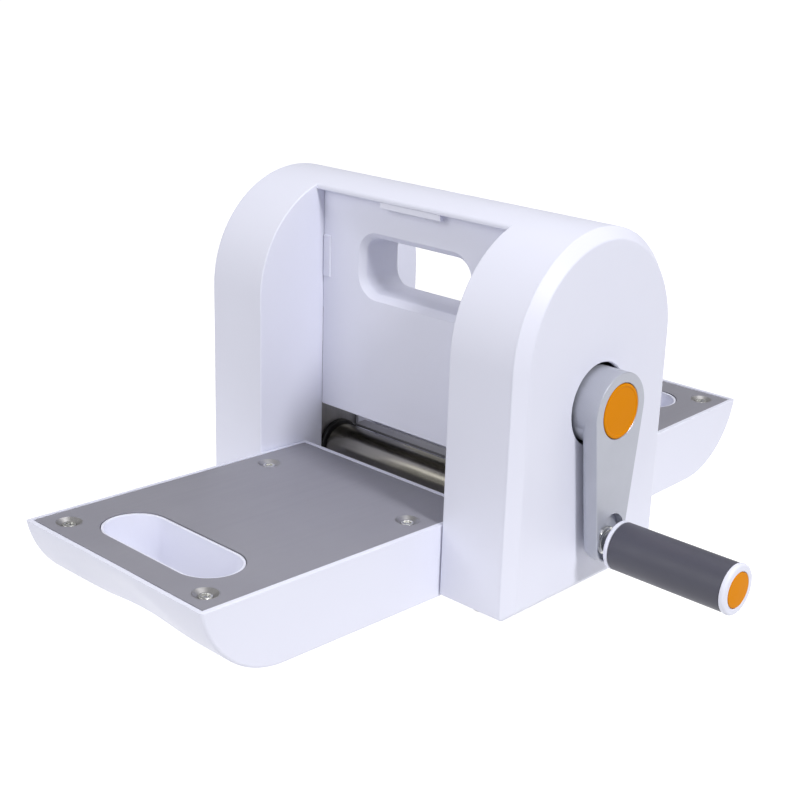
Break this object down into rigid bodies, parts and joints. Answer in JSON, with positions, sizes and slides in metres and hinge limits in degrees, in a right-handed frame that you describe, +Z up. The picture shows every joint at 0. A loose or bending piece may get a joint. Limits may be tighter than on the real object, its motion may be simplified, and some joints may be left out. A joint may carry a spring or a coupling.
{
  "type": "die cutting machine",
  "caption": "Hand-cranked die cutting and embossing machine with geared steel rollers, fold-up front and rear platforms and a carrying hole.",
  "frame": {"origin": "centre of the base pan's underside, level with the bottom of the towers", "axes": "+X along the rollers towards the crank, -Y towards the front platform, +Z up"},
  "size_m": [0.3838, 0.52, 0.2336],
  "materials": {
    "white_plastic": "satin white moulded plastic",
    "grey_plate": "smooth grey satin",
    "frame_steel": "plain steel sheet",
    "gear_steel": "oiled cut steel",
    "roller_steel": "turned dark steel",
    "bright_steel": "plated steel",
    "black_plastic": "black acetal",
    "silver_paint": "silver-grey paint",
    "grip_rubber": "dark slate grey, fine grain",
    "orange_plastic": "satin orange",
    "foot_rubber": "matte black"
  },
  "bodies": {
    "frame": {"left_tower_shell": "white_plastic", "right_tower_shell": "white_plastic", "left_tower_cover": "white_plastic", "right_tower_cover": "white_plastic", "front_centre_panel": "white_plastic", "rear_centre_panel": "white_plastic", "top_bar": "white_plastic", "base_pan": "white_plastic", "left_side_frame": "frame_steel", "right_side_frame": "frame_steel", "gear_plate": "frame_steel", "gear_plate_spacer_1": "frame_steel", "gear_plate_spacer_2": "frame_steel", "gear_plate_spacer_3": "frame_steel", "lower_tie_bar": "frame_steel", "upper_tie_bar": "frame_steel", "front_left_hinge_pin": "bright_steel", "front_right_hinge_pin": "bright_steel", "rear_left_hinge_pin": "bright_steel", "rear_right_hinge_pin": "bright_steel", "left_lower_bush": "black_plastic", "left_upper_bush": "black_plastic", "right_lower_bush": "black_plastic", "right_upper_bush": "black_plastic", "crank_inner_bush": "black_plastic", "crank_outer_bush": "black_plastic", "rear_bed_plate": "grey_plate", "front_left_foot": "foot_rubber", "front_right_foot": "foot_rubber", "rear_left_foot": "foot_rubber", "rear_right_foot": "foot_rubber"},
    "upper_roller": {"upper_roller": "roller_steel", "upper_roller_gear": "gear_steel"},
    "lower_roller": {"lower_roller": "roller_steel", "lower_roller_gear": "gear_steel"},
    "crank": {"crank_shaft": "bright_steel", "crank_pinion": "gear_steel", "crank_arm": "silver_paint", "crank_screw": "bright_steel", "crank_cap": "orange_plastic", "grip_spindle": "bright_steel", "grip_nut": "bright_steel"},
    "grip": {"grip_inner_ring": "white_plastic", "grip_sleeve": "grip_rubber", "grip_end_cap": "white_plastic", "grip_badge": "orange_plastic"},
    "front_tray": {"front_tray_shell": "white_plastic", "front_tray_plate": "grey_plate", "front_tray_screw_1": "bright_steel", "front_tray_screw_2": "bright_steel", "front_tray_screw_3": "bright_steel", "front_tray_screw_4": "bright_steel"},
    "rear_tray": {"rear_tray_shell": "white_plastic", "rear_tray_plate": "grey_plate", "rear_tray_screw_1": "bright_steel", "rear_tray_screw_2": "bright_steel", "rear_tray_screw_3": "bright_steel", "rear_tray_screw_4": "bright_steel"},
    "front_latch": {"front_latch": "white_plastic"},
    "rear_latch": {"rear_latch": "white_plastic"}
  },
  "joints": [
    {"name": "upper_roller_spin", "type": "hinge", "parent": "frame", "child": "upper_roller", "pos_m": [0, 0, 0.0846], "axis": [1, 0, 0], "continuous": true},
    {"name": "lower_roller_spin", "type": "hinge", "parent": "frame", "child": "lower_roller", "pos_m": [0, 0, 0.0346], "axis": [1, 0, 0], "continuous": true},
    {"name": "crank_turn", "type": "hinge", "parent": "frame", "child": "crank", "pos_m": [0, 0, 0.1226], "axis": [1, 0, 0], "continuous": true},
    {"name": "grip_spin", "type": "hinge", "parent": "crank", "child": "grip", "pos_m": [0.2, 0, 0.0378], "axis": [1, 0, 0], "continuous": true},
    {"name": "front_tray_fold", "type": "hinge", "parent": "frame", "child": "front_tray", "pos_m": [0, -0.0545, 0.0187], "axis": [-1, 0, 0], "range_deg": [0, 88.52]},
    {"name": "rear_tray_fold", "type": "hinge", "parent": "frame", "child": "rear_tray", "pos_m": [0, 0.0545, 0.0187], "axis": [1, 0, 0], "range_deg": [0, 88.52]},
    {"name": "front_latch_push", "type": "slide", "parent": "frame", "child": "front_latch", "axis": [0, 1, 0], "range_m": [0, 0.0022], "stiffness_N_per_m": 400, "springref_m": -0.001},
    {"name": "rear_latch_push", "type": "slide", "parent": "frame", "child": "rear_latch", "axis": [0, -1, 0], "range_m": [0, 0.0022], "stiffness_N_per_m": 400, "springref_m": -0.001}
  ],
  "couplings": [
    {"joint": "lower_roller_spin", "follows": "upper_roller_spin", "ratio": -1},
    {"joint": "crank_turn", "follows": "upper_roller_spin", "ratio": -1.9231}
  ]
}
